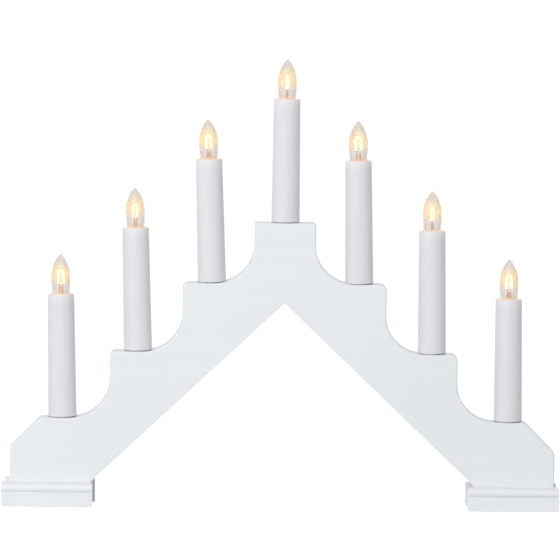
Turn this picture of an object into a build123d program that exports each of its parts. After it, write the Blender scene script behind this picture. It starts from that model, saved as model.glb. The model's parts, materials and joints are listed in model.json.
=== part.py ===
from build123d import *
import math
import os

# Board: a plank sawn to steps, one candle on each platform, with a V notch between the legs
board_thickness = 20.0
board_edge_radius = 1.2
candles_each_side = 3
candle_pitch = 53.0
top_shelf = 21.85
upper_shelf = 19.9
lower_shelf = 18.6
outer_shelf = 36.25
outer_platform_height = 62.5
lower_step = 48.3
upper_step = 49.7
top_step = 43.5
top_corner_radius = 1.5
step_corner_radius = 4.0
shoulder_corner_radius = 5.0
shoulder_chamfer = 21.5
cove_radius = 28.0
apex_web = 57.3
leg_width = 40.1

# From the left: how far right of its even place each seat is, and degrees its candle leans right
seat_shifts = (0.9, 1.5, 0.9, 0.0, 0.5, 0.4, 2.7)
candle_leans = (-1.3, -1.8, -2.1, 0.0, -1.2, -0.7, -0.4)

# Feet: bead-and-plinth mouldings on both faces of each leg, with dowels through the leg
foot_height = 16.4
foot_depth = 14.0
foot_overhang = 4.2
foot_setback = 3.25
foot_shift = 1.45
rear_left_shift = 1.6
quirk_height = 0.7
plinth_edge_radius = 0.5
bead_radius = 3.4
bead_setback = 0.7
bead_undercut_angle = 55.0
dowel_diameter = 6.0
dowel_grip = 8.0
dowel_chamfer = 0.8
dowel_end_gap = 0.3
dowel_place_shares = (0.26, 0.76)

# Wiring channel in the board's back, and the strips that close it
channel_width = 7.0
channel_depth = 6.0
channel_end = 6.5
channel_apex_share = 0.37
channel_end_share = 0.5
cover_width = 16.0
cover_thickness = 2.5
cover_end = 9.3
screw_head_diameter = 4.2
screw_head_height = 1.3
screw_shank_diameter = 2.0
screw_length = 9.5
grommet_place_share = 0.74
grommet_bore = 4.8
grommet_neck_diameter = 7.6
grommet_flange_diameter = 11.0
grommet_flange_thickness = 1.4
grommet_lip_diameter = 9.2
grommet_lip_thickness = 1.2

# Candle sleeve, and the plug that seats it on its platform
sleeve_height = 87.7
sleeve_draft = 0.7
sleeve_wall = 1.3
sleeve_top_wall = 1.4
sleeve_rim_land = 2.35
sleeve_rim_radius = 0.8
seat_bore = 13.0
seat_floor_drop = 4.0
plug_spigot_length = 12.0
plug_flange_inset = 0.85
plug_flange_thickness = 0.7
plug_boss_height = 8.0

# Lamp: E10 screw cap, pointed glass and lit strips on a stem
lamp_length = 43.0
lamp_protrusion = 28.4
thread_pitch = 1.814
cap_diameter = 9.5
cap_wall = 0.4
cap_length = 9.0
cap_floor = 1.2
cap_base_diameter = 7.2
cap_base_height = 1.2
tip_diameter = 3.5
tip_height = 0.8
glass_wall = 0.7
glass_neck_insert = 3.0
glass_shoulder_height = 4.8
glass_shoulder_inset = 0.95
glass_belly_diameter = 14.0
glass_belly_height = 12.0
glass_point_radius = 1.4
stem_base_diameter = 4.4
stem_top_diameter = 2.6
stem_top_height = 7.0
strip_bottom_height = 8.2
strip_top_height = 18.6
strip_spread = 5.4
strip_width = 1.5
strip_thickness = 0.8
lead_width = 0.5
lead_spread = 1.8
lead_overlap = 0.8

# Lamp holder under the sleeve's top wall, with its brass shell and sprung contact pin
holder_floor = 2.0
shell_wall = 0.5
shell_top_drop = 0.2
shell_base_drop = 0.4
contact_room = 0.75
contact_head_diameter = 5.0
contact_head_thickness = 1.0
contact_stem_diameter = 2.4
contact_collar_diameter = 3.8
contact_collar_thickness = 0.8
contact_spare_stroke = 0.2

# Wires from holder to holder
wire_diameter = 1.6
wire_spread = 6.0
wire_setback = 1.2
lane_spacing = 3.0
wire_gentle_bend = 6.0
wire_apex_bend = 3.0
wire_bend = 2.0
wire_end_spacing = 1.6
wire_room = 0.55

# Clearances, and how far cutters run past what they cut
glue_fit = 0.05
running_fit = 0.08
thread_fit = 0.1
cover_fit = 0.15
holder_fit = 0.15
contact_fit = 0.3
seat_fit = 0.3
opening_fit = 0.1
overrun = 2.0

# Places worked out from the sizes above
lower_platform_height = outer_platform_height + lower_step
upper_platform_height = lower_platform_height + upper_step
top_platform_height = upper_platform_height + top_step
platform_heights = [top_platform_height, upper_platform_height, lower_platform_height, outer_platform_height]
shelves = [top_shelf, upper_shelf, lower_shelf, outer_shelf]
post_edges = [steps * candle_pitch + shelf for steps, shelf in enumerate(shelves)]
board_edge = post_edges[-1]
board_back = board_thickness / 2
notch_apex_height = top_platform_height - apex_web
notch_slope = (board_edge - leg_width) / notch_apex_height
candle_places = range(-candles_each_side, candles_each_side + 1)
candle_seats = [(place * candle_pitch + shift, platform_heights[abs(place)], lean)
                for place, shift, lean in zip(candle_places, seat_shifts, candle_leans)]

foot_inner = (notch_apex_height - foot_height) * notch_slope - foot_setback
foot_outer = board_edge + foot_overhang
dowel_height = foot_height / 2
leg_inner = (notch_apex_height - dowel_height) * notch_slope
dowel_places = [leg_inner + share * (board_edge - leg_inner) for share in dowel_place_shares]

channel_apex = notch_apex_height + channel_apex_share * (top_platform_height - notch_apex_height)
channel_low = channel_end_share * outer_platform_height
channel_run = max(abs(seat[0]) for seat in candle_seats)
channel_fall = (channel_apex - channel_low) / channel_run
channel_angle = math.atan(channel_fall)
channel_length = channel_run / math.cos(channel_angle)
cover_seat = board_back - cover_thickness
channel_floor = cover_seat - channel_depth
channel_middle = cover_seat - channel_depth / 2
land_middle = (cover_width + channel_width) / 4
grommet_x = (candles_each_side - 1 + grommet_place_share) * candle_pitch

# Heights in a candle's own frame, measured up from its platform
candle_top = plug_flange_thickness + sleeve_height
lamp_tip = candle_top + lamp_protrusion
lamp_base = lamp_tip - lamp_length
cap_bottom = lamp_base + tip_height
cap_top = cap_bottom + cap_length
stem_base = cap_bottom + cap_floor
shoulder_top = cap_top + glass_shoulder_height
holder_top = candle_top - sleeve_top_wall
shell_top = cap_top - shell_top_drop
shell_base = cap_bottom - shell_base_drop
contact_head_top = lamp_base - glue_fit
contact_head_base = contact_head_top - contact_head_thickness
well_floor = contact_head_base - contact_room
holder_base = well_floor - holder_floor

# Diameters that follow from what goes inside
sleeve_opening = glass_belly_diameter + 2 * opening_fit
sleeve_top_diameter = sleeve_opening + 2 * sleeve_rim_land
sleeve_base_diameter = sleeve_top_diameter + 2 * sleeve_draft
glass_neck_diameter = cap_diameter - 2 * cap_wall - 2 * glue_fit
shell_bore = cap_diameter + 2 * thread_fit
holder_bore = shell_bore + 2 * shell_wall + 2 * glue_fit
plug_hole = 2 * math.hypot(wire_spread / 2, wire_setback) + wire_diameter + 2 * wire_room


def seat_place(seat):
    """Where a candle's own frame stands: on its platform, leaning with it."""
    x, platform, lean = seat
    return Pos(x, 0, platform) * Rot(0, lean, 0)


def channel_height(x):
    """Height of the wiring channel's middle line."""
    return channel_apex - abs(x) * channel_fall


def lane_height(x, side):
    """Height of the upper (side 1) or lower (side -1) wire lane in the channel."""
    return channel_height(x) + side * lane_spacing / 2 / math.cos(channel_angle)


def slab(outline, near, far):
    """Solid with an outline drawn in X and Z, between two depths along Y."""
    return Pos(0, far, 0) * extrude(Plane.XZ * make_face(outline), far - near)


def turned(points, radii=None):
    """Solid turned about Z from (radius, height) points, with rounded corners where radii are given."""
    if radii is None:
        profile = Polyline(points, close=True)
    else:
        profile = FilletPolyline(points, radius=radii, close=True)
    return revolve(Plane.XZ * make_face(profile), Axis.Z)


def upright(diameter, bottom, top):
    """Round rod along Z between two heights."""
    return Pos(0, 0, bottom) * extrude(Circle(diameter / 2), top - bottom)


def crosswise(diameter, near, far):
    """Round rod along Y between two depths."""
    return Pos(0, far, 0) * extrude(Plane.XZ * Circle(diameter / 2), far - near)


def channel_arm(width, length):
    """Outline of the channel's right arm: mitred on the centre line, cut square at its low end."""
    along = Vector(math.cos(channel_angle), -math.sin(channel_angle))
    across = Vector(math.sin(channel_angle), math.cos(channel_angle)) * (width / 2)
    end = Vector(0, channel_apex) + along * length
    mitre = Vector(0, width / 2 / math.cos(channel_angle))
    apex = Vector(0, channel_apex)
    return Polyline(apex + mitre, end + across, end - across, apex - mitre, close=True)


def cover_screw_places():
    """Screws midway between the candles, on the channel's lower and upper lands by turns."""
    places = []
    for step in range(candles_each_side):
        middle = (step + 0.5) * candle_pitch
        side = 1 if step % 2 else -1
        x = middle + side * land_middle * math.sin(channel_angle)
        places.append((x, channel_height(middle) + side * land_middle * math.cos(channel_angle)))
    return places


def screw_solid(grow=0):
    """Countersunk screw along Y, head at the back, or its hole if it is grown by a fit."""
    head = screw_head_diameter / 2 + grow
    shank = screw_shank_diameter / 2 + grow
    screw = turned([(0, 0), (head, 0), (shank, -screw_head_height), (shank, -screw_length - grow),
                    (0, -screw_length - grow)])
    return Pos(0, board_back, 0) * Rot(-90, 0, 0) * screw


def both_sides(shape):
    """A shape of the right half and its mirror image on the left."""
    return [shape, mirror(shape, Plane.YZ)]


def board_plank():
    """Stepped plank before its notch and bores, with rounded front and back edges."""
    corners = []
    radii = []
    for edge, upper, lower in zip(post_edges, platform_heights, platform_heights[1:]):
        corners += [(edge, upper), (edge, lower)]
        radii += [step_corner_radius, cove_radius]
    radii[0] = top_corner_radius
    corners += [(board_edge - shoulder_chamfer, outer_platform_height),
                (board_edge, outer_platform_height - shoulder_chamfer), (board_edge, 0)]
    radii += [shoulder_corner_radius, shoulder_corner_radius, 0]
    left_corners = [(-x, z) for x, z in reversed(corners)]
    outline = FilletPolyline(left_corners + corners, radius=radii[::-1] + radii, close=True)
    plank = slab(outline, -board_back, board_back)
    faces = plank.faces().sort_by(Axis.Y)
    rims = [edge for face in (faces[0], faces[-1]) for edge in face.edges().sort_by(Axis.Z)[1:]]
    return fillet(rims, board_edge_radius)


def arch_board():
    foot_line = notch_apex_height + overrun
    notch = Polyline((0, notch_apex_height), (foot_line * notch_slope, -overrun),
                     (-foot_line * notch_slope, -overrun), close=True)
    cuts = [slab(notch, -board_thickness, board_thickness)]
    spot = upright(sleeve_base_diameter + 2 * seat_fit, 0, cove_radius)
    for seat in candle_seats:
        depth = seat[1] - channel_height(seat[0]) + seat_floor_drop
        bore = upright(seat_bore, -depth, overrun)
        cuts += [seat_place(seat) * bore, seat_place(seat) * spot]
    channel = channel_arm(channel_width, channel_length + channel_end)
    rebate = channel_arm(cover_width + 2 * cover_fit, channel_length + cover_end + cover_fit)
    cuts += both_sides(slab(channel, channel_floor, board_back))
    cuts += both_sides(slab(rebate, cover_seat, board_back + overrun))
    for x, z in cover_screw_places():
        cuts += both_sides(Pos(x, 0, z) * screw_solid(glue_fit))
    pocket = crosswise(grommet_lip_diameter + 2 * seat_fit, channel_floor, board_back)
    cuts.append(Pos(grommet_x, 0, channel_height(grommet_x)) * pocket)
    for x in dowel_places:
        hole = crosswise(dowel_diameter + 2 * glue_fit, -board_thickness, board_thickness)
        cuts += both_sides(Pos(x, 0, dowel_height) * hole)
    return board_plank() - cuts


def foot_moulding(shift):
    """Front moulding of the right leg, its length along X, moved along by a shift."""
    bead_u = foot_depth - bead_setback - bead_radius
    bead_z = foot_height - bead_radius
    undercut = math.radians(bead_undercut_angle)
    quirk = (bead_u + bead_radius * math.cos(undercut), bead_z - bead_radius * math.sin(undercut))
    plinth_height = quirk[1] - quirk_height
    edge = plinth_edge_radius
    flats = FilletPolyline((bead_u, foot_height), (0, foot_height), (0, 0), (foot_depth, 0),
                           (foot_depth, plinth_height), (quirk[0], plinth_height), quirk,
                           radius=[0, 0, edge, edge, 0])
    bead = CenterArc((bead_u, bead_z), bead_radius, -bead_undercut_angle, bead_undercut_angle + 90)
    end = Plane(origin=(foot_outer + shift, -board_back, 0), x_dir=(0, -1, 0), z_dir=(-1, 0, 0))
    moulding = extrude(end * make_face([flats, bead]), foot_outer - foot_inner)
    hole_end = -board_back - dowel_grip - dowel_end_gap
    hole = crosswise(dowel_diameter + 2 * glue_fit, hole_end, overrun)
    return moulding - [Pos(x, 0, dowel_height) * hole for x in dowel_places]


def foot_dowel():
    reach = board_back + dowel_grip
    dowel = crosswise(dowel_diameter, -reach, reach)
    return chamfer(dowel.edges().filter_by(GeomType.CIRCLE), dowel_chamfer)


def wiring_cover():
    """Right strip, with its screw holes."""
    outline = channel_arm(cover_width, channel_length + cover_end)
    strip = slab(outline, cover_seat, board_back)
    return strip - [Pos(x, 0, z) * screw_solid(glue_fit) for x, z in cover_screw_places()]


def grommet_hole():
    hole = crosswise(grommet_neck_diameter + 2 * glue_fit, cover_seat - overrun, board_back + overrun)
    return Pos(grommet_x, 0, channel_height(grommet_x)) * hole


def cord_grommet():
    """Bush with a flange outside the strip and a lip behind it."""
    grommet = crosswise(grommet_neck_diameter, cover_seat, board_back)
    grommet += crosswise(grommet_flange_diameter, board_back, board_back + grommet_flange_thickness)
    grommet += crosswise(grommet_lip_diameter, cover_seat - grommet_lip_thickness, cover_seat)
    grommet -= crosswise(grommet_bore, channel_floor, board_back + overrun)
    return Pos(grommet_x, 0, channel_height(grommet_x)) * grommet


def sleeve_radius(height):
    """Outer radius of a sleeve at a height above its platform."""
    return sleeve_base_diameter / 2 - (height - plug_flange_thickness) * sleeve_draft / sleeve_height


def candle_sleeve():
    """Tapered tube with a rounded rim and a top wall that the lamp passes through."""
    base = plug_flange_thickness
    opening = sleeve_opening / 2
    points = [(sleeve_radius(base), base), (sleeve_radius(candle_top), candle_top), (opening, candle_top),
              (opening, holder_top), (sleeve_radius(holder_top) - sleeve_wall, holder_top),
              (sleeve_radius(base) - sleeve_wall, base)]
    return turned(points, [0, sleeve_rim_radius, 0, 0, 0, 0])


def sleeve_plug():
    """Spigot in the board's bore, flange on the platform and boss inside the sleeve."""
    boss_base = plug_flange_thickness
    boss_top = boss_base + plug_boss_height
    hole = plug_hole / 2
    spigot = seat_bore / 2 - glue_fit
    flange = sleeve_base_diameter / 2 - plug_flange_inset
    inset = sleeve_wall + glue_fit
    return turned([(hole, -plug_spigot_length), (spigot, -plug_spigot_length), (spigot, 0), (flange, 0),
                   (flange, boss_base), (sleeve_radius(boss_base) - inset, boss_base),
                   (sleeve_radius(boss_top) - inset, boss_top), (hole, boss_top)])


def lamp_holder():
    """Cup under the sleeve's top wall, with a mouth that widens like the lamp's shoulder."""
    outer = sleeve_radius(holder_top) - sleeve_wall - holder_fit
    well = contact_head_diameter / 2 + contact_fit
    stem_hole = contact_stem_diameter / 2 + running_fit
    bore = holder_bore / 2
    mouth = sleeve_opening / 2
    cup = turned([(stem_hole, holder_base), (outer, holder_base), (outer, holder_top), (bore, holder_top),
                  (bore, shell_base), (well, shell_base), (well, well_floor), (stem_hole, well_floor)])
    lamp_room = turned([(0, shell_top), (bore, shell_top), (mouth, shoulder_top), (mouth, lamp_tip),
                        (0, lamp_tip)])
    return cup - lamp_room


def screw_shell():
    inner = shell_bore / 2
    outer = inner + shell_wall
    return turned([(inner, shell_base), (outer, shell_base), (outer, shell_top), (inner, shell_top)])


def centre_contact():
    """Pin with a flat head under the lamp and a collar that stops it below the holder."""
    collar_top = holder_base - thread_pitch - contact_spare_stroke
    collar_base = collar_top - contact_collar_thickness
    head = contact_head_diameter / 2
    stem = contact_stem_diameter / 2
    collar = contact_collar_diameter / 2
    return turned([(0, contact_head_top), (head, contact_head_top), (head, contact_head_base),
                   (stem, contact_head_base), (stem, collar_top), (collar, collar_top), (collar, collar_base),
                   (0, collar_base)])


def lamp_cap():
    outer = cap_diameter / 2
    inner = outer - cap_wall
    return turned([(0, lamp_base), (tip_diameter / 2, lamp_base), (tip_diameter / 2, cap_bottom),
                   (cap_base_diameter / 2, cap_bottom), (outer, cap_bottom + cap_base_height),
                   (outer, cap_top), (inner, cap_top), (inner, stem_base), (0, stem_base)])


def glass_form(inset, base):
    """Pointed glass turned about Z, drawn in by inset: neck, shoulder, belly and rounded point."""
    neck = glass_neck_diameter / 2 - inset
    belly_radius = glass_belly_diameter / 2
    belly_height = shoulder_top + glass_belly_height
    shoulder = (belly_radius - glass_shoulder_inset - inset, shoulder_top)
    rise = lamp_tip - glass_point_radius - belly_height
    bow = (belly_radius**2 - glass_point_radius**2 + rise**2) / 2 / (belly_radius - glass_point_radius)
    turn = math.degrees(math.atan2(rise, bow - belly_radius))
    side = CenterArc((belly_radius - bow, belly_height), bow - inset, 0, turn)
    point = CenterArc((0, lamp_tip - glass_point_radius), glass_point_radius - inset, turn, 90 - turn)
    swell = TangentArc(side @ 0, shoulder, tangent=(0, -1))
    lower = Polyline(point @ 1, (0, base), (neck, base), (neck, cap_top), shoulder)
    return revolve(Plane.XZ * make_face([lower, swell, side, point]), Axis.Z)


def lamp_glass():
    neck_base = cap_top - glass_neck_insert
    return glass_form(0, neck_base) - glass_form(glass_wall, neck_base - overrun)


def lamp_filament():
    """Two upright strips bridged at the top, on leads that stand in a tapered stem."""
    stem_top = shoulder_top + stem_top_height
    stem = turned([(0, stem_base), (stem_base_diameter / 2, stem_base), (stem_top_diameter / 2, stem_top),
                   (0, stem_top)])
    outer = strip_spread / 2
    inner = outer - strip_width
    top = shoulder_top + strip_top_height
    bottom = shoulder_top + strip_bottom_height
    lead_foot = lead_spread / 2
    lead_base = stem_top - lead_overlap
    half = [(0, top), (outer, top), (outer, bottom), (lead_foot, lead_base),
            (lead_foot - lead_width, lead_base), (inner, bottom), (inner, top - strip_width),
            (0, top - strip_width)]
    loop = slab(Polyline(half, close=True), -strip_thickness / 2, strip_thickness / 2)
    return stem + both_sides(loop)


def wire(points, bends):
    path = FilletPolyline(points, radius=bends)
    start = Plane(origin=path @ 0, z_dir=path % 0)
    return sweep(start * Circle(wire_diameter / 2), path=path)


def wire_drop(seat, side, lane):
    """Points from a holder's underside down through its plug to a lane of the channel."""
    x = side * wire_spread / 2
    ends = [seat_place(seat) * Pos(x, wire_setback, z) for z in (holder_base, -plug_spigot_length)]
    start, mouth = [end.position for end in ends]
    return [start, mouth, (mouth.X, channel_middle, lane_height(mouth.X, lane))]


def link_wires():
    """Series links, each from one holder to the next."""
    bends = [wire_gentle_bend, wire_bend, wire_bend, wire_gentle_bend]
    links = []
    for left, right in zip(candle_seats, candle_seats[1:]):
        points = wire_drop(left, 1, 1) + wire_drop(right, -1, 1)[::-1]
        links.append(wire(points, bends))
    return links


def inlet_end(side):
    """Point where a lower-lane wire ends behind the grommet, on one side of its bore."""
    x = grommet_x + side * wire_end_spacing / 2
    return (x, channel_middle, lane_height(x, -1))


def feed_wire():
    points = wire_drop(candle_seats[-1], 1, -1) + [inlet_end(1)]
    return wire(points, [wire_gentle_bend, wire_bend])


def return_wire():
    crown = (0, channel_middle, lane_height(0, -1))
    points = wire_drop(candle_seats[0], -1, -1) + [crown, inlet_end(-1)]
    return wire(points, [wire_gentle_bend, wire_bend, wire_apex_bend])


def group(shapes):
    """One node of several separate solids."""
    return Compound([shape.solid() for shape in shapes])


def at_seats(shape):
    """Copies of a candle's piece, one on each platform."""
    return [seat_place(seat) * shape for seat in candle_seats]


def build_nodes():
    front_right = foot_moulding(-foot_shift)
    front_left = mirror(foot_moulding(foot_shift), Plane.YZ)
    rear_left = mirror(foot_moulding(foot_shift - rear_left_shift), Plane.YZ)
    right_cover = wiring_cover()
    screws = [Pos(x, 0, z) * screw_solid() for x, z in cover_screw_places()]
    dowels = [Pos(x, 0, dowel_height) * foot_dowel() for x in dowel_places]
    nodes = {
        "arch_board": arch_board(),
        "foot_front_right": front_right,
        "foot_rear_right": mirror(front_right, Plane.XZ),
        "foot_front_left": front_left,
        "foot_rear_left": mirror(rear_left, Plane.XZ),
        "foot_dowels": group([copy for dowel in dowels for copy in both_sides(dowel)]),
        "wiring_cover_left": mirror(right_cover, Plane.YZ),
        "wiring_cover_right": right_cover - grommet_hole(),
        "cover_screws": group([copy for screw in screws for copy in both_sides(screw)]),
        "cord_grommet": cord_grommet(),
        "link_wires": group(link_wires()),
        "feed_wire": feed_wire(),
        "return_wire": return_wire(),
        "sleeve_plugs": group(at_seats(sleeve_plug())),
        "screw_shells": group(at_seats(screw_shell())),
    }
    candle_pieces = {
        "candle_sleeve": candle_sleeve(),
        "lamp_holder": lamp_holder(),
        "centre_contact": centre_contact(),
        "lamp_cap": lamp_cap(),
        "lamp_glass": lamp_glass(),
        "lamp_filament": lamp_filament(),
    }
    for name, piece in candle_pieces.items():
        for number, copy in enumerate(at_seats(piece), start=1):
            nodes[f"{name}_{number}"] = copy
    return nodes


os.makedirs("parts", exist_ok=True)
centring = Pos(foot_shift, 0, 0)
for node, shape in build_nodes().items():
    export_step(centring * shape, f"parts/{node}.step")
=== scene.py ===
"""Looks of the candle arch: finishes, lit lamps, small fittings, studio light and camera."""
import json
import math

import bmesh
import bpy
from mathutils import Matrix, Vector


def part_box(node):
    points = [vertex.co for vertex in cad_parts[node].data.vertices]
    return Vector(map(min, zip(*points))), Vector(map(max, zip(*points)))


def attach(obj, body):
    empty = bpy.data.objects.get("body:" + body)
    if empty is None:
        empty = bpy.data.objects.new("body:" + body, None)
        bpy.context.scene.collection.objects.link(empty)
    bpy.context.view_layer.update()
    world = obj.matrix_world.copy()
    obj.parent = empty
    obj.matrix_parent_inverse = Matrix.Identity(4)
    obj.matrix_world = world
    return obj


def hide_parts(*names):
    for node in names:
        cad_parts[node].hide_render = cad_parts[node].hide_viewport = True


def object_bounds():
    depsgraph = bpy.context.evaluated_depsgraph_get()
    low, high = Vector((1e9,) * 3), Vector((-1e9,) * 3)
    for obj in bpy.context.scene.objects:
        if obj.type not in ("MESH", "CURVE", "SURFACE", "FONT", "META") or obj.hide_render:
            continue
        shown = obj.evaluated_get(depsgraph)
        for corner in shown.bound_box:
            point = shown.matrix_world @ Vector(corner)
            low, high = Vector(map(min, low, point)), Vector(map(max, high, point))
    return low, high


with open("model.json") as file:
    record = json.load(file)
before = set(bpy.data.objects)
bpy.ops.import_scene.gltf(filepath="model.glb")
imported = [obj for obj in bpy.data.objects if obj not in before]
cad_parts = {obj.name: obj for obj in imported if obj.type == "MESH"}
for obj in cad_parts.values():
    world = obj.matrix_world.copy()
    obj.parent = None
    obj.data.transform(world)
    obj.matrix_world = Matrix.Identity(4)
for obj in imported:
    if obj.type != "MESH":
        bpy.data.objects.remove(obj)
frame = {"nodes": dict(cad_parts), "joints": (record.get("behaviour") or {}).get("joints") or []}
cad_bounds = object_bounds()
nodes = frame["nodes"]
turns = {joint["child"]: joint for joint in frame["joints"] if joint["type"] == "hinge"}
lamp_numbers = range(1, len(turns) + 1)

MM = 0.001
ON_AXIS = 1e-7
CORNER_STEPS = 6
WHITE = (1.0, 1.0, 1.0, 1.0)
BLACK = (0.0, 0.0, 0.0, 1.0)


# Shader maths
def srgb(red, green, blue):
    """Linear colour from a colour picked on a 0 to 255 scale."""
    def linear(level):
        level = level / 255
        return level / 12.92 if level <= 0.04045 else ((level + 0.055) / 1.055) ** 2.4
    return (linear(red), linear(green), linear(blue), 1.0)


class Value:
    """An output socket, so that shader maths is written as arithmetic."""

    def __init__(self, tree, socket):
        self.tree = tree
        self.socket = socket

    def maths(self, operation, first, second):
        return self.tree.node("ShaderNodeMath", {"operation": operation}, {0: first, 1: second})

    def __add__(self, other):
        return self.maths("ADD", self, other)

    def __rsub__(self, other):
        return self.maths("SUBTRACT", other, self)

    def __mul__(self, other):
        return self.maths("MULTIPLY", self, other)

    def __pow__(self, other):
        return self.maths("POWER", self, other)

    __radd__ = __add__
    __rmul__ = __mul__

    def most(self, other):
        return self.maths("MAXIMUM", self, other)

    def ease(self, start, end):
        """0 below start, 1 past end, with a smooth rise between them."""
        return self.tree.node("ShaderNodeMapRange", {"interpolation_type": "SMOOTHSTEP"},
                              {"Value": self, "From Min": start, "From Max": end})


class Tree:
    """A node tree and the ways to add to it."""

    def __init__(self, owner):
        owner.use_nodes = True
        self.nodes = owner.node_tree.nodes
        self.links = owner.node_tree.links

    def plug(self, socket, value):
        if isinstance(value, Value):
            self.links.new(value.socket, socket)
        else:
            socket.default_value = value

    def node(self, kind, settings, inputs, output=0):
        """Adds any node: its settings first, then values or links by socket."""
        made = self.nodes.new(kind)
        for name, value in settings.items():
            setattr(made, name, value)
        for socket, value in inputs.items():
            self.plug(made.inputs[socket], value)
        return Value(self, made.outputs[output])

    def mix(self, share, first, second):
        return self.node("ShaderNodeMix", {"data_type": "RGBA"}, {0: share, 6: first, 7: second}, 2)

    def where(self, stretch=(1, 1, 1)):
        """Place in the object's frame, in metres, with each direction stretched."""
        spot = self.node("ShaderNodeTexCoord", {}, {}, "Object")
        return self.node("ShaderNodeMapping", {}, {"Vector": spot, "Scale": stretch})

    def height(self):
        """Height in the piece's own box, from 0 at its foot to 1 at its top."""
        spot = self.node("ShaderNodeTexCoord", {}, {}, "Generated")
        return self.node("ShaderNodeSeparateXYZ", {}, {0: spot}, "Z")

    def noise(self, detail, scale=1.0, stretch=(1, 1, 1)):
        return self.node("ShaderNodeTexNoise", {},
                         {"Vector": self.where(stretch), "Scale": scale, "Detail": detail})

    def bump(self, height, distance, strength):
        return self.node("ShaderNodeBump", {},
                         {"Height": height, "Distance": distance, "Strength": strength})


class Finish(Tree):
    """A procedural material with one Principled shader."""

    def __init__(self, name, **constants):
        self.material = bpy.data.materials.new(name)
        super().__init__(self.material)
        self.shader = self.nodes["Principled BSDF"]
        self.feed(**constants)

    def feed(self, **inputs):
        """Sets the shader's sockets, named in lower case with underscores."""
        sockets = {socket.name.lower().replace(" ", "_"): socket for socket in self.shader.inputs}
        for name, value in inputs.items():
            self.plug(sockets[name], value)


# Finishes
def lacquer(name, grain_stretch, gloss):
    """White lacquer sprayed on wood, with faint grain showing through along one direction."""
    finish = Finish(name, specular_ior_level=gloss, coat_roughness=0.18)
    cloud = finish.noise(detail=3.0, scale=14.0)
    grain = finish.noise(detail=5.0, stretch=grain_stretch)
    orange_peel = finish.noise(detail=1.0, scale=1100.0)
    tone = cloud * 0.6 + grain * 0.4
    finish.feed(base_color=finish.mix(tone.ease(0.3, 0.7), srgb(233, 236, 238), srgb(237, 239, 241)),
                roughness=0.3 + cloud * 0.16,
                coat_weight=gloss * (0.2 + grain * 0.4),
                normal=finish.bump(orange_peel * 0.7 + grain * 0.5, distance=0.06 * MM, strength=0.5))
    return finish


def sleeve_plastic():
    """Half-gloss moulded plastic with the lamp's warm light painted on towards its rim, where the lamp
    stands in it: a painted emission glow and a painted peach tint on the rim itself.
    """
    finish = Finish("candle_plastic", specular_ior_level=0.24, emission_strength=1.0)
    flow = finish.noise(detail=3.0, stretch=(60, 60, 9))
    pores = finish.noise(detail=1.0, scale=1600.0)
    up = finish.height()
    # Painted lamp light: a warm emission glow over the top of the sleeve and a peach tint on its rim
    painted_rim_glow = up.ease(0.86, 1.0) ** 2.0
    painted_rim_tint = up.ease(0.983, 0.999)
    body = finish.mix(flow.ease(0.3, 0.7), srgb(226, 226, 230), srgb(229, 229, 232))
    painted_rim_light = (0.08, 0.048, 0.034, 1.0)
    finish.feed(base_color=finish.mix(painted_rim_tint, body, srgb(238, 224, 218)),
                roughness=0.24 + flow * 0.12,
                emission_color=finish.mix(painted_rim_glow, BLACK, painted_rim_light),
                normal=finish.bump(pores + flow * 2.0, distance=0.02 * MM, strength=0.5))
    return finish


def blown_glass():
    """Clear blown glass, greyer at its point and foot, with the warm light of its strips painted on: an
    amber tint and emission glow round its belly, and a peach emission glow at its neck.
    """
    finish = Finish("lamp_glass", specular_ior_level=0.3, emission_strength=1.0)
    up = finish.height()
    drift = finish.noise(detail=1.0, stretch=(170, 170, 130))
    # Painted light of the strips: the lit band and the neck glow as emission, and the lit band gets an
    # amber tint
    painted_lit_band = up.ease(0.36, 0.56) * (1 - up.ease(0.7, 0.95))
    neck = 1 - up.ease(0.2, 0.29)
    patch = drift.ease(0.38, 0.62)
    edge = finish.node("ShaderNodeLayerWeight", {}, {"Blend": 0.35}, "Facing")
    pink_light = (0.19, 0.11, 0.082, 1.0)
    yellow_light = (0.2, 0.19, 0.056, 1.0)
    dim_light = (0.11, 0.084, 0.07, 1.0)
    neck_light = (0.46, 0.335, 0.235, 1.0)
    painted_warm_glow = finish.mix(patch, pink_light, yellow_light)
    painted_pale_glow = finish.mix(neck, dim_light, neck_light)
    clear = finish.mix(patch, srgb(194, 184, 180), srgb(186, 188, 186))
    finish.feed(base_color=finish.mix(painted_lit_band, clear, srgb(206, 184, 142)),
                roughness=0.04 + drift * 0.05,
                alpha=0.2 + painted_lit_band * 0.03 + neck * 0.35 + edge * 0.25,
                emission_color=finish.mix(painted_lit_band, painted_pale_glow, painted_warm_glow))
    return finish


def lit_phosphor():
    """Lit phosphor over a row of small chips."""
    finish = Finish("lit_strip", roughness=0.5, emission_strength=1.3)
    chip_scale = 1 / (2.2 * MM)  # a band for each 0.69 mm up the strip
    chips = finish.node("ShaderNodeTexWave", {"bands_direction": "Z"},
                        {"Vector": finish.where(), "Scale": chip_scale}, "Fac")
    speckle = finish.noise(detail=1.0, scale=900.0)
    deep_light = (1.0, 0.82, 0.65, 1.0)
    bright_light = (1.0, 0.9, 0.79, 1.0)
    finish.feed(base_color=finish.mix(speckle, srgb(240, 190, 90), srgb(250, 214, 130)),
                emission_color=finish.mix(chips * 0.4 + speckle * 0.6, deep_light, bright_light))
    return finish


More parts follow.
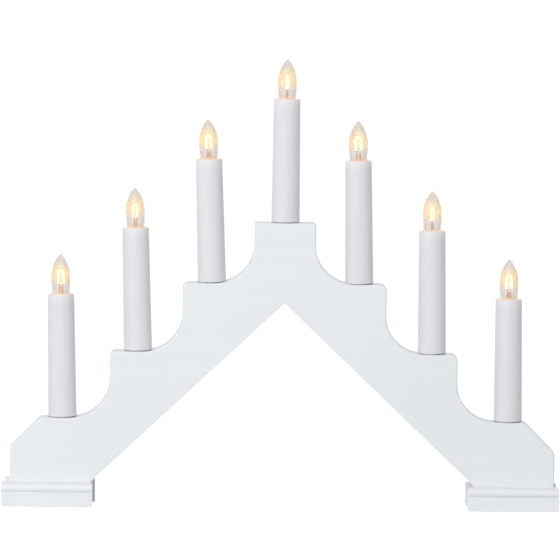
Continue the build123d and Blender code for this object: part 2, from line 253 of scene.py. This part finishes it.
def stem_glass():
    """Streaky peach-coloured glass of the stem, with the strips' light painted on as an emission glow, most
    at its foot.
    """
    finish = Finish("stem_glass", roughness=0.15, emission_strength=1.0)
    streak = finish.noise(detail=2.0, stretch=(900, 900, 60))
    # Painted light of the strips, as emission on the stem
    painted_foot_glow = (0.3, 0.16, 0.08, 1.0)
    painted_top_glow = (0.12, 0.07, 0.04, 1.0)
    finish.feed(base_color=finish.mix(streak.ease(0.35, 0.65), srgb(196, 150, 120), srgb(240, 204, 176)),
                emission_color=finish.mix(finish.height().ease(0.3, 1.0), painted_foot_glow, painted_top_glow))
    return finish


def drawn_metal(name, dark, light, roughness):
    """Bare metal with fine marks round it from the drawing die."""
    finish = Finish(name, metallic=1.0)
    marks = finish.noise(detail=3.0, stretch=(120, 120, 2600))
    stain = finish.noise(detail=3.0, scale=260.0)
    finish.feed(base_color=finish.mix(stain.ease(0.3, 0.75), light, dark),
                roughness=roughness + marks * 0.16,
                normal=finish.bump(marks, distance=0.02 * MM, strength=0.4))
    return finish


def moulded(name, dark, light, roughness, grain):
    """Moulded plastic, rubber or glass with a fine texture."""
    finish = Finish(name, specular_ior_level=0.4)
    texture = finish.noise(detail=2.0, scale=grain)
    cloud = finish.noise(detail=3.0, scale=90.0)
    finish.feed(base_color=finish.mix(cloud.ease(0.3, 0.7), dark, light),
                roughness=roughness + texture * 0.12,
                normal=finish.bump(texture, distance=0.04 * MM, strength=0.5))
    return finish


def holder_plastic():
    """Socket plastic with the lamp's light painted on about its mouth, as emission."""
    finish = moulded("holder_plastic", srgb(214, 212, 206), srgb(228, 226, 220), roughness=0.42,
                     grain=900.0)
    # Painted lamp light: warm emission over the top of the holder
    painted_mouth_share = finish.height().ease(0.75, 1.0)
    painted_mouth_light = (0.62, 0.47, 0.38, 1.0)
    finish.feed(emission_strength=1.0, emission_color=finish.mix(painted_mouth_share, BLACK, painted_mouth_light))
    return finish


def beech():
    """Plain beech with short flecks along the dowels."""
    finish = Finish("dowel_beech", specular_ior_level=0.3)
    grain = finish.noise(detail=4.0, stretch=(900, 60, 900))
    fleck = finish.noise(detail=2.0, stretch=(1500, 320, 1500))
    tone = grain * 0.7 + fleck * 0.3
    finish.feed(base_color=finish.mix(tone, srgb(190, 148, 104), srgb(224, 190, 148)),
                roughness=0.55 + fleck * 0.2,
                normal=finish.bump(grain, distance=0.1 * MM, strength=0.5))
    return finish


lamp_glass = blown_glass()
lit_strip = lit_phosphor()
stem_finish = stem_glass()
nickel = drawn_metal("nickel", srgb(150, 146, 138), srgb(206, 202, 194), roughness=0.2)
brass = drawn_metal("brass", srgb(160, 122, 58), srgb(214, 178, 102), roughness=0.22)
copper_lead = drawn_metal("copper_lead", srgb(140, 92, 64), srgb(196, 138, 104), roughness=0.28)
screw_steel = drawn_metal("screw_steel", srgb(140, 142, 144), srgb(198, 200, 202), roughness=0.24)
solder = drawn_metal("solder", srgb(120, 120, 122), srgb(186, 186, 186), roughness=0.34)
# Dark grey plug, so that its flange under each sleeve paints the shadow gap between sleeve and board
plug_plastic = moulded("plug_plastic", srgb(112, 111, 112), srgb(194, 192, 191), roughness=0.5, grain=900.0)
wire_insulation = moulded("wire_insulation", srgb(226, 226, 222), srgb(238, 238, 234), roughness=0.38,
                          grain=1400.0)
grommet_rubber = moulded("grommet_rubber", srgb(218, 218, 216), srgb(232, 232, 230), roughness=0.55,
                         grain=1200.0)
cap_glass = moulded("cap_glass", srgb(22, 20, 24), srgb(44, 38, 46), roughness=0.12, grain=700.0)

# Finish of each node, by the longest start of its name
node_finishes = {
    "arch_board": lacquer("plank_lacquer", grain_stretch=(9, 40, 160), gloss=0.26),
    "foot": lacquer("moulding_lacquer", grain_stretch=(12, 220, 220), gloss=0.6),
    "foot_dowels": beech(),
    "wiring_cover": lacquer("strip_lacquer", grain_stretch=(60, 40, 120), gloss=0.26),
    "candle_sleeve": sleeve_plastic(),
    "sleeve_plugs": plug_plastic,
    "lamp_holder": holder_plastic(),
    "screw_shells": brass,
    "centre_contact": brass,
    "link_wires": wire_insulation,
    "feed_wire": wire_insulation,
    "return_wire": wire_insulation,
    "cover_screws": screw_steel,
    "cord_grommet": grommet_rubber,
    "lamp_cap": nickel,
    "lamp_glass": lamp_glass,
    "lamp_filament": lit_strip,
}


def coat(piece, finish):
    """Gives a piece one finish all over."""
    piece.data.materials.clear()
    piece.data.materials.append(finish.material)


for node_name, node_object in nodes.items():
    matches = [start for start in node_finishes if node_name.startswith(start)]
    coat(node_object, node_finishes[max(matches, key=len)])


# Ways to make meshes
def piece_from(name, shape, finish, body, place=None, crease=40.0):
    """Turns a bmesh into a piece that rides on a body, smooth up to a crease angle in degrees."""
    if place is not None:
        bmesh.ops.transform(shape, matrix=place, verts=shape.verts)
    bmesh.ops.recalc_face_normals(shape, faces=shape.faces)
    mesh = bpy.data.meshes.new(name)
    shape.to_mesh(mesh)
    shape.free()
    mesh.polygons.foreach_set("use_smooth", [True] * len(mesh.polygons))
    mesh.set_sharp_from_angle(angle=math.radians(crease))
    piece = bpy.data.objects.new(name, mesh)
    bpy.context.scene.collection.objects.link(piece)
    coat(piece, finish)
    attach(piece, body)
    return piece


def limited(share):
    """The share, held between 0 and 1."""
    return min(1.0, max(0.0, share))


def shares(count):
    """Even shares of a length, the last of them 1."""
    return [step / count for step in range(1, count + 1)]


def full_turn(segments):
    """Even angles round one full turn, from 0."""
    return [2 * math.pi * step / segments for step in range(segments)]


def soft_corner(middle, radius, start):
    """Points of a quarter round about a middle, from a start angle in degrees."""
    angles = [math.radians(start + 90 * step / CORNER_STEPS) for step in range(CORNER_STEPS + 1)]
    return [(middle[0] + radius * math.cos(a), middle[1] + radius * math.sin(a)) for a in angles]


def thread_groove(height, angle, pitch):
    """0 on the crest of a right-hand thread about Z, and 1 at the bottom of its groove."""
    return 0.5 - 0.5 * math.cos(2 * math.pi * height / pitch - angle)


def add_ring(shape, height, radii):
    """Ring of vertices about Z, with the radius of each."""
    ring = []
    for radius, angle in zip(radii, full_turn(len(radii))):
        ring.append(shape.verts.new((radius * math.cos(angle), radius * math.sin(angle), height)))
    return ring


def stitch(shape, rings, closed=False):
    """Faces between successive rings of vertices; a ring of one vertex is a pole."""
    pairs = list(zip(rings, rings[1:]))
    if closed:
        pairs.append((rings[-1], rings[0]))
    for low, high in pairs:
        count = max(len(low), len(high))
        for step in range(count):
            after = (step + 1) % count
            if len(low) == 1:
                corners = [low[0], high[after], high[step]]
            elif len(high) == 1:
                corners = [low[step], low[after], high[0]]
            else:
                corners = [low[step], low[after], high[after], high[step]]
            shape.faces.new(corners)


def stitch_bar(shape, rings):
    """Faces between successive rings, and over both ends."""
    stitch(shape, rings)
    shape.faces.new(rings[0])
    shape.faces.new(rings[-1])


def turn_outline(shape, outline, segments, closed=False):
    """Turned form about Z from (radius, height) points."""
    rings = []
    for radius, height in outline:
        if radius < ON_AXIS:
            rings.append([shape.verts.new((0, 0, height))])
        else:
            rings.append(add_ring(shape, height, [radius] * segments))
    stitch(shape, rings, closed)


def sweep_oval(shape, path, half_width, half_depth, segments=14):
    """Bar along a path in X and Z, its section oval between the path's plane and Y."""
    rings = []
    for index, point in enumerate(path):
        before = path[max(index - 1, 0)]
        after = path[min(index + 1, len(path) - 1)]
        across = (after - before).normalized().cross(Vector((0, 1, 0))) * half_width
        deep = Vector((0, half_depth, 0))
        rings.append([shape.verts.new(point + math.cos(a) * across + math.sin(a) * deep)
                      for a in full_turn(segments)])
    stitch_bar(shape, rings)


def bend(points, steps=8):
    """Smooth path through points, as a Catmull-Rom curve."""
    padded = [points[0]] + points + [points[-1]]
    path = []
    for a, b, c, d in zip(padded, padded[1:], padded[2:], padded[3:]):
        for step in range(steps):
            t = step / steps
            path.append(0.5 * (2 * b + (c - a) * t + (2 * a - 5 * b + 4 * c - d) * t**2
                               + (3 * b - a - 3 * c + d) * t**3))
    path.append(points[-1])
    return path


# Lamp sizes, fitted to the frame's upright middle lamp: heights are up from the bottom of the cap's shell
lamp_foot = Vector(turns["lamp_4"]["pos_m"])
glass_low, glass_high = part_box("lamp_glass_4")
cap_low, cap_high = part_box("lamp_cap_4")
strip_low, strip_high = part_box("lamp_filament_4")

cap_top = cap_high.z - lamp_foot.z
cap_radius = (cap_high.x - cap_low.x) / 2
cap_segments = 48
cap_rings = 60
cap_flare_height = 1.2 * MM
cap_flare_depth = 1.15 * MM
thread_pitch = 1.814 * MM
thread_depth = 0.42 * MM
thread_low = 0.9 * MM
thread_high = cap_top - 0.5 * MM
button_radius = 3.3 * MM
button_face_radius = 2.3 * MM
button_edge = 0.1 * MM
button_drop = 0.35 * MM
solder_radius = 1.75 * MM
solder_top = -0.2 * MM
solder_seat = -0.3 * MM
solder_base = cap_low.z - lamp_foot.z

glass_steps = {"shoulder": 10, "belly": 10, "bow": 21, "point": 9}
glass_wall = 0.7 * MM
glass_foot = glass_low.z - lamp_foot.z
lamp_tip = glass_high.z - lamp_foot.z
belly_radius = (glass_high.x - glass_low.x) / 2
neck_radius = cap_radius - 0.45 * MM
neck_top = cap_top - 0.6 * MM
shoulder_top = cap_top + 4.8 * MM
shoulder_radius = belly_radius - 0.95 * MM
belly_height = shoulder_top + 12.0 * MM
point_radius = 1.4 * MM

strip_steps = 8
strip_drop = 1.4 * MM
strip_length = 9.9 * MM
strip_top = strip_high.z - lamp_foot.z - strip_drop
strip_bottom = strip_top - strip_length
strip_half_width = 0.75 * MM
strip_half_depth = 0.4 * MM
strip_spread = (strip_high.x - strip_low.x) / 2 - strip_half_width
bridge_corner = 1.4 * MM

stem_base = strip_low.z - lamp_foot.z
stem_top = shoulder_top + 5.4 * MM
stem_pinch = 0.6
# Radius and height of the stem, from its foot up
stem_profile = {
    "foot": (2.1 * MM, stem_base),
    "flare": (2.0 * MM, stem_base + 2 * MM),
    "mouth_of_cap": (1.5 * MM, cap_top),
    "under_shoulder": (1.35 * MM, shoulder_top - 2 * MM),
    "over_shoulder": (1.3 * MM, shoulder_top + 2 * MM),
    "head": (1.35 * MM, stem_top - 1.5 * MM),
    "edge_of_head": (1.2 * MM, stem_top - 0.4 * MM),
    "crown": (0.8 * MM, stem_top),
}

lead_radius = 0.2 * MM
# Distance from the middle and height of each lead, from its foot up
lead_route = {
    "foot": (1.5 * MM, cap_top - 1.0 * MM),
    "side_of_stem": (1.45 * MM, stem_top - 2.0 * MM),
    "waist": (0.9 * MM, stem_top + 0.3 * MM),
    "elbow": (strip_spread - 0.2 * MM, strip_bottom - 0.6 * MM),
    "tab": (strip_spread, strip_bottom + 0.6 * MM),
}

lamp_light_power = 0.0022
lamp_light_colour = (1.0, 0.7, 0.46)
lamp_light_radius = 2.5 * MM

# Degrees that each lamp happens to be turned to when it is screwed home
lamp_turns = {1: 5, 2: 42, 3: 22, 4: 68, 5: 2, 6: 62, 7: 20}


def glass_outline(inset):
    """Half section of the blown glass, drawn in by inset, from its foot up to its point."""
    outline = [(neck_radius - inset, glass_foot), (neck_radius - inset, neck_top)]
    for share in shares(glass_steps["shoulder"]):
        widening = (shoulder_radius - neck_radius) * (0.5 - 0.5 * math.cos(math.pi * share))
        outline.append((neck_radius + widening - inset, neck_top + share * (shoulder_top - neck_top)))
    for share in shares(glass_steps["belly"]):
        swell = (belly_radius - shoulder_radius) * (1 - share) ** 2
        outline.append((belly_radius - swell - inset, shoulder_top + share * (belly_height - shoulder_top)))
    rise = lamp_tip - point_radius - belly_height
    bow = (belly_radius**2 - point_radius**2 + rise**2) / 2 / (belly_radius - point_radius)
    turn = math.atan2(rise, bow - belly_radius)
    for share in shares(glass_steps["bow"]):
        angle = turn * share
        outline.append((belly_radius - bow + (bow - inset) * math.cos(angle),
                        belly_height + (bow - inset) * math.sin(angle)))
    for share in shares(glass_steps["point"]):
        angle = turn + (math.pi / 2 - turn) * share
        outline.append(((point_radius - inset) * math.cos(angle),
                        lamp_tip - point_radius + (point_radius - inset) * math.sin(angle)))
    return outline


def make_glass(number, place):
    """Blown glass with its wall."""
    shape = bmesh.new()
    turn_outline(shape, glass_outline(glass_wall)[::-1] + glass_outline(0), segments=56)
    glass = piece_from(f"bulb_glass_{number}", shape, lamp_glass, f"lamp_{number}", place,
                       crease=60)
    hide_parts(f"lamp_glass_{number}")


def strip_path():
    """Up one strip, over the bridge and down the other."""
    bend_low = strip_top - strip_half_width - bridge_corner
    half = [(strip_spread, strip_bottom + (bend_low - strip_bottom) * step / strip_steps)
            for step in range(strip_steps)]
    half += soft_corner((strip_spread - bridge_corner, bend_low), bridge_corner, start=0)
    return [Vector((-x, 0, z)) for x, z in half] + [Vector((x, 0, z)) for x, z in half[::-1]]


def make_strips(number, place):
    """Pair of lit strips, joined by a bridge at the top."""
    shape = bmesh.new()
    sweep_oval(shape, strip_path(), strip_half_width, strip_half_depth, segments=20)
    strips = piece_from(f"lit_strips_{number}", shape, lit_strip, f"lamp_{number}", place)
    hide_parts(f"lamp_filament_{number}")


def make_leads(number, place):
    """Two bare wires from the cap, up the sides of the stem, to the feet of the strips."""
    shape = bmesh.new()
    for side in (-1, 1):
        points = [Vector((side * reach, 0, height)) for reach, height in lead_route.values()]
        sweep_oval(shape, bend(points), lead_radius, lead_radius)
    piece_from(f"strip_leads_{number}", shape, copper_lead, f"lamp_{number}", place)


def make_stem(number, place):
    """Flared glass stem, pinched flat towards its top."""
    shape = bmesh.new()
    turn_outline(shape, [(0, stem_base), *stem_profile.values(), (0, stem_top)], segments=32)
    for vertex in shape.verts:
        vertex.co.y *= 1 - stem_pinch * limited((vertex.co.z - shoulder_top) / (stem_top - shoulder_top))
    piece_from(f"glass_stem_{number}", shape, stem_finish, f"lamp_{number}", place, crease=60)


def make_cap(number, place):
    """Rolled screw cap: a flared shell, closed at both ends, whose thread fades in and out."""
    shape = bmesh.new()
    rings = []
    for height in [0] + [cap_top * share for share in shares(cap_rings)]:
        radius = cap_radius - cap_flare_depth * (1 - limited(height / cap_flare_height))
        fade_in = limited((height - thread_low) / thread_pitch)
        fade_out = limited((thread_high - height) / thread_pitch)
        depth = thread_depth * fade_in * fade_out
        radii = [radius - depth * thread_groove(height, angle, thread_pitch)
                 for angle in full_turn(cap_segments)]
        rings.append(add_ring(shape, height, radii))
    stitch_bar(shape, rings)
    cap = piece_from(f"screw_cap_{number}", shape, nickel, f"lamp_{number}", place)
    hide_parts(f"lamp_cap_{number}")


def make_button(number, place):
    """Black glass button under the cap."""
    shape = bmesh.new()
    outline = [(0, button_edge), (button_radius, button_edge), (button_radius - button_edge, -button_edge),
               (button_face_radius, -button_drop), (0, -button_drop)]
    turn_outline(shape, outline, segments=40)
    piece_from(f"cap_button_{number}", shape, cap_glass, f"lamp_{number}", place)


def make_solder_tip(number, place):
    """Drop of solder in the middle of the button."""
    shape = bmesh.new()
    dome = soft_corner((0, 0), 1.0, start=0)[:-1]
    outline = [(0, solder_top), (solder_radius, solder_top)]
    outline += [(solder_radius * x, solder_seat + (solder_base - solder_seat) * y) for x, y in dome]
    turn_outline(shape, outline + [(0, solder_base)], segments=32)
    piece_from(f"solder_tip_{number}", shape, solder, f"lamp_{number}", place)


def make_lamp_light(number, place):
    """Warm light of the strips, which falls on the rim and shows in the sleeves beside it."""
    lamp = bpy.data.lights.new(f"lamp_light_{number}", "POINT")
    lamp.energy = lamp_light_power
    lamp.color = lamp_light_colour
    lamp.shadow_soft_size = lamp_light_radius
    light = bpy.data.objects.new(f"lamp_light_{number}", lamp)
    light.location = place @ Vector((0, 0, (strip_bottom + strip_top) / 2))
    bpy.context.scene.collection.objects.link(light)


for number in lamp_numbers:
    joint = turns[f"lamp_{number}"]
    lean = Vector((0, 0, 1)).rotation_difference(Vector(joint["axis"])).to_matrix().to_4x4()
    turned = Matrix.Rotation(math.radians(lamp_turns[number]), 4, "Z")
    lamp_place = Matrix.Translation(joint["pos_m"]) @ lean @ turned
    for make in (make_glass, make_strips, make_leads, make_stem, make_cap, make_button, make_solder_tip,
                 make_lamp_light):
        make(number, lamp_place)


# Turns a fitting's own Z to the back of the arch
facing_back = Matrix.Rotation(math.radians(-90), 4, "X")

# Countersunk cross-recess screws in the wiring covers
screw_low, screw_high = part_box("cover_screws")
screw_length = screw_high.y - screw_low.y
screw_segments = 64
screw_head_rings = 18
screw_shank_rings = 60
screw_head_radius = 2.1 * MM
screw_head_height = 1.3 * MM
screw_head_edge = 0.1 * MM
screw_shank_radius = 1.0 * MM
screw_tip_share = 0.2
screw_tip_radius_share = 0.35
screw_thread_pitch = 0.9 * MM
screw_thread_start = 0.6 * MM
screw_thread_share = 0.22
screw_first_turn = 17
screw_next_turn = 41
recess_depth = 0.8 * MM
recess_reach = 1.25 * MM
recess_ramp = 0.6875 * MM
recess_half_mouth = 0.364 * MM
recess_half_floor = 0.224 * MM


def screw_spots():
    """Middle of each screw of the CAD node, in X and Z."""
    one_screw = 4 * screw_head_radius
    screws = []
    for vertex in nodes["cover_screws"].data.vertices:
        spot = (vertex.co.x, vertex.co.z)
        near = [screw for screw in screws if math.dist(screw[0], spot) <= one_screw]
        if near:
            near[0].append(spot)
        else:
            screws.append([spot])
    return [[(min(axis) + max(axis)) / 2 for axis in zip(*screw)] for screw in screws]


def recess_at(x, y):
    """Depth of the cross recess below the screw's head."""
    arms = []
    for along, across in ((x, y), (y, x)):
        wall = limited((recess_half_mouth - abs(across)) / (recess_half_mouth - recess_half_floor))
        ramp = limited((recess_reach - abs(along)) / recess_ramp)
        arms.append(wall * ramp)
    return recess_depth * max(arms)


def add_screw(shape, place):
    """Head with its recess, cone and threaded shank, along Z with the head up."""
    rings = [[shape.verts.new((0, 0, -recess_depth))]]
    for share in shares(screw_head_rings):
        ring = add_ring(shape, 0, [(screw_head_radius - screw_head_edge) * share] * screw_segments)
        for vertex in ring:
            vertex.co.z = -recess_at(vertex.co.x, vertex.co.y)
        rings.append(ring)
    profile = [(screw_head_radius, -screw_head_edge), (screw_shank_radius, -screw_head_height)]
    for share in shares(screw_shank_rings):
        taper = min(1.0, (1 - share) / screw_tip_share)
        radius = screw_shank_radius * (screw_tip_radius_share + (1 - screw_tip_radius_share) * taper)
        profile.append((radius, -screw_head_height - (screw_length - screw_head_height) * share))
    for radius, height in profile:
        threaded = height < -screw_head_height - screw_thread_start
        cut = screw_thread_share if threaded else 0
        radii = [radius * (1 - cut * thread_groove(height, angle, screw_thread_pitch))
                 for angle in full_turn(screw_segments)]
        rings.append(add_ring(shape, height, radii))
    rings.append([shape.verts.new((0, 0, -screw_length))])
    stitch(shape, rings)
    bmesh.ops.transform(shape, matrix=place, verts=[vertex for ring in rings for vertex in ring])


def make_screws():
    """All the screws as one piece, each driven home at its own angle."""
    shape = bmesh.new()
    for index, (x, z) in enumerate(screw_spots()):
        driven = Matrix.Rotation(math.radians(screw_first_turn + screw_next_turn * index), 4, "Z")
        add_screw(shape, Matrix.Translation((x, screw_high.y, z)) @ facing_back @ driven)
    cross_screws = piece_from("cross_screws", shape, screw_steel, "arch", crease=30)
    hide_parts("cover_screws")


make_screws()


# Rubber bush of the cord inlet, with soft edges
bush_low, bush_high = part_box("cord_grommet")
bush_radius = (bush_high.x - bush_low.x) / 2
bush_depth = bush_high.y - bush_low.y
bush_bore = 2.4 * MM
bush_neck = 3.8 * MM
bush_lip = 4.6 * MM
bush_flange = 1.4 * MM
bush_back = 1.2 * MM
bush_edge = 0.5 * MM
bush_bore_edge = 0.4 * MM


def make_bush():
    """Bush with a flange outside, a neck and a lip inside."""
    shape = bmesh.new()
    bore_side = bush_bore + bush_bore_edge
    outline = soft_corner((bush_radius - bush_edge, bush_depth - bush_edge), bush_edge, start=0)
    outline += soft_corner((bore_side, bush_depth - bush_bore_edge), bush_bore_edge, start=90)
    outline += soft_corner((bore_side, bush_bore_edge), bush_bore_edge, start=180)
    outline += soft_corner((bush_lip - bush_bore_edge, bush_bore_edge), bush_bore_edge, start=270)
    outline += [(bush_lip, bush_back), (bush_neck, bush_back), (bush_neck, bush_depth - bush_flange),
                (bush_radius, bush_depth - bush_flange)]
    turn_outline(shape, outline, segments=48, closed=True)
    middle = (bush_low + bush_high) / 2
    place = Matrix.Translation((middle.x, bush_low.y, middle.z)) @ facing_back
    bush = piece_from("inlet_bush", shape, grommet_rubber, "arch", place)
    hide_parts("cord_grommet")


make_bush()


# Studio: floor, room, softbox and camera
floor_reach = 60.0
floor_paper = (0.8, 0.8, 0.8, 1.0)
floor_shade = (0.34, 0.34, 0.34, 1.0)
floor_white = 0.85
room_colour = (0.97, 0.985, 1.0, 1.0)
room_strength = 0.535
camera_place = (-0.09185, -3.9264, 0.4783)
camera_yaw = math.radians(1.312)
camera_pitch = math.radians(4.596)
camera_roll = math.radians(0.794)
camera_sensor = 36.0
camera_lens = 353.41


def show_by_ray(tree, output, lighting, looking):
    """One shader for rays that only carry light, and one for camera, mirror and glass rays."""
    camera, glossy, through = [tree.node("ShaderNodeLightPath", {}, {}, f"Is {kind} Ray")
                               for kind in ("Camera", "Glossy", "Transmission")]
    seen = camera.most(glossy).most(through)
    surface = tree.node("ShaderNodeMixShader", {}, {0: seen, 1: lighting, 2: looking})
    tree.plug(tree.nodes.new(output).inputs["Surface"], surface)


def make_floor():
    """Pale floor that reads white to the camera and keeps a soft shadow."""
    mesh = bpy.data.meshes.new("studio_floor")
    corners = [(-floor_reach, -floor_reach, 0), (floor_reach, -floor_reach, 0),
               (floor_reach, floor_reach, 0), (-floor_reach, floor_reach, 0)]
    mesh.from_pydata(corners, [], [(0, 1, 2, 3)])
    floor = bpy.data.objects.new("studio_floor", mesh)
    bpy.context.scene.collection.objects.link(floor)
    material = bpy.data.materials.new("studio_floor")
    tree = Tree(material)
    tree.nodes.clear()
    paper = tree.node("ShaderNodeBsdfDiffuse", {}, {"Color": floor_paper})
    shade = tree.node("ShaderNodeBsdfDiffuse", {}, {"Color": floor_shade})
    white = tree.node("ShaderNodeEmission", {}, {"Color": WHITE, "Strength": floor_white})
    bright = tree.node("ShaderNodeAddShader", {}, {0: shade, 1: white})
    show_by_ray(tree, "ShaderNodeOutputMaterial", paper, bright)
    mesh.materials.append(material)


def make_world():
    """Even light from all round, which looks like a white backdrop."""
    world = bpy.data.worlds.new("studio")
    bpy.context.scene.world = world
    tree = Tree(world)
    tree.nodes.clear()
    room = tree.node("ShaderNodeBackground", {}, {"Color": room_colour, "Strength": room_strength})
    backdrop = tree.node("ShaderNodeBackground", {}, {"Color": WHITE, "Strength": 1.0})
    show_by_ray(tree, "ShaderNodeOutputWorld", room, backdrop)


def make_softbox(name, azimuth, elevation, distance, width, level):
    """Square softbox, so many degrees to the right of the front and above the floor, aimed at the arch.

    Its level is about how bright it makes white that faces it.
    """
    lamp = bpy.data.lights.new(name, "AREA")
    lamp.size = width
    lamp.energy = level * (math.pi * distance) ** 2
    light = bpy.data.objects.new(name, lamp)
    light.visible_camera = False
    bpy.context.scene.collection.objects.link(light)
    side = math.radians(azimuth)
    rise = math.radians(elevation)
    toward = Vector((math.sin(side) * math.cos(rise), -math.cos(side) * math.cos(rise), math.sin(rise)))
    light.location = toward * distance + (cad_bounds[0] + cad_bounds[1]) / 2
    light.rotation_euler = toward.to_track_quat("Z", "Y").to_euler()


def make_camera():
    """Long lens a little left of the middle and above, rolled as the photograph was taken."""
    level_forward = Vector((math.sin(camera_yaw), math.cos(camera_yaw), 0))
    forward = level_forward * math.cos(camera_pitch) - Vector((0, 0, math.sin(camera_pitch)))
    level = Vector((math.cos(camera_yaw), -math.sin(camera_yaw), 0))
    rise = level.cross(forward)
    right = math.cos(camera_roll) * level + math.sin(camera_roll) * rise
    up = math.cos(camera_roll) * rise - math.sin(camera_roll) * level
    lens = bpy.data.cameras.new("studio_camera")
    lens.sensor_width = camera_sensor
    lens.lens = camera_lens
    camera = bpy.data.objects.new("studio_camera", lens)
    bpy.context.scene.collection.objects.link(camera)
    facing = Matrix((right, up, -forward)).transposed().to_4x4()
    camera.matrix_world = Matrix.Translation(camera_place) @ facing
    bpy.context.scene.camera = camera


make_floor()
make_world()
make_softbox("key_softbox", azimuth=-25, elevation=25, distance=3.0, width=1.6, level=0.5)
make_camera()
bpy.context.scene.view_settings.view_transform = "Standard"
